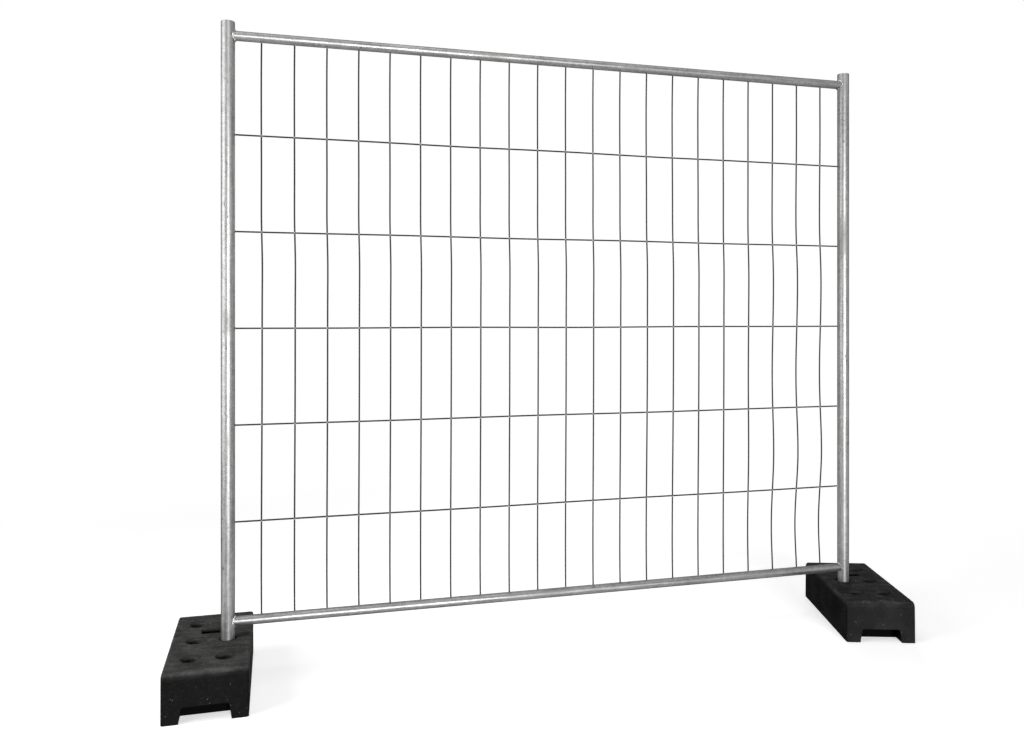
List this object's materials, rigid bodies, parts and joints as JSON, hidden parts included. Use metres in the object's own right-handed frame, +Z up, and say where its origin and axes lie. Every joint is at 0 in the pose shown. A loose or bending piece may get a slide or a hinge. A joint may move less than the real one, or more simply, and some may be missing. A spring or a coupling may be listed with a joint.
{
  "type": "temporary fence panel",
  "caption": "Free-standing mesh fence panel: welded round-tube frame with wire mesh, its two uprights socketed in moulded block feet.",
  "frame": {"origin": "on the floor under the left upright's axis, seen from the front", "axes": "+X along the panel to the right upright, -Y to the front, +Z up"},
  "size_m": [2.5981, 0.5439, 2.044],
  "materials": {
    "galvanised_tube": "hot-dip galvanised, dull with spangle",
    "galvanised_cap": "pressed galvanised steel",
    "galvanised_wire": "galvanised drawn wire",
    "moulded_block": "matt black recycled moulding, scuffed"
  },
  "bodies": {
    "panel": {"left_upright": "galvanised_tube", "right_upright": "galvanised_tube", "bottom_rail": "galvanised_tube", "top_rail": "galvanised_tube", "left_upright_cap": "galvanised_cap", "right_upright_cap": "galvanised_cap", "upright_wire_01": "galvanised_wire", "upright_wire_02": "galvanised_wire", "upright_wire_03": "galvanised_wire", "upright_wire_04": "galvanised_wire", "upright_wire_05": "galvanised_wire", "upright_wire_06": "galvanised_wire", "upright_wire_07": "galvanised_wire", "upright_wire_08": "galvanised_wire", "upright_wire_09": "galvanised_wire", "upright_wire_10": "galvanised_wire", "upright_wire_11": "galvanised_wire", "upright_wire_12": "galvanised_wire", "upright_wire_13": "galvanised_wire", "upright_wire_14": "galvanised_wire", "upright_wire_15": "galvanised_wire", "upright_wire_16": "galvanised_wire", "upright_wire_17": "galvanised_wire", "upright_wire_18": "galvanised_wire", "upright_wire_19": "galvanised_wire", "upright_wire_20": "galvanised_wire", "upright_wire_21": "galvanised_wire", "row_wire_1": "galvanised_wire", "row_wire_2": "galvanised_wire", "row_wire_3": "galvanised_wire", "row_wire_4": "galvanised_wire", "row_wire_5": "galvanised_wire"},
    "left_block": {"left_foot": "moulded_block"},
    "right_block": {"right_foot": "moulded_block"}
  },
  "joints": [
    {"name": "left_foot_swivel", "type": "hinge", "parent": "panel", "child": "left_block", "pos_m": [0, 0, 0.14], "axis": [0, 0, 1], "continuous": true},
    {"name": "right_foot_swivel", "type": "hinge", "parent": "panel", "child": "right_block", "pos_m": [2.2, 0, 0.14], "axis": [0, 0, 1], "continuous": true}
  ]
}
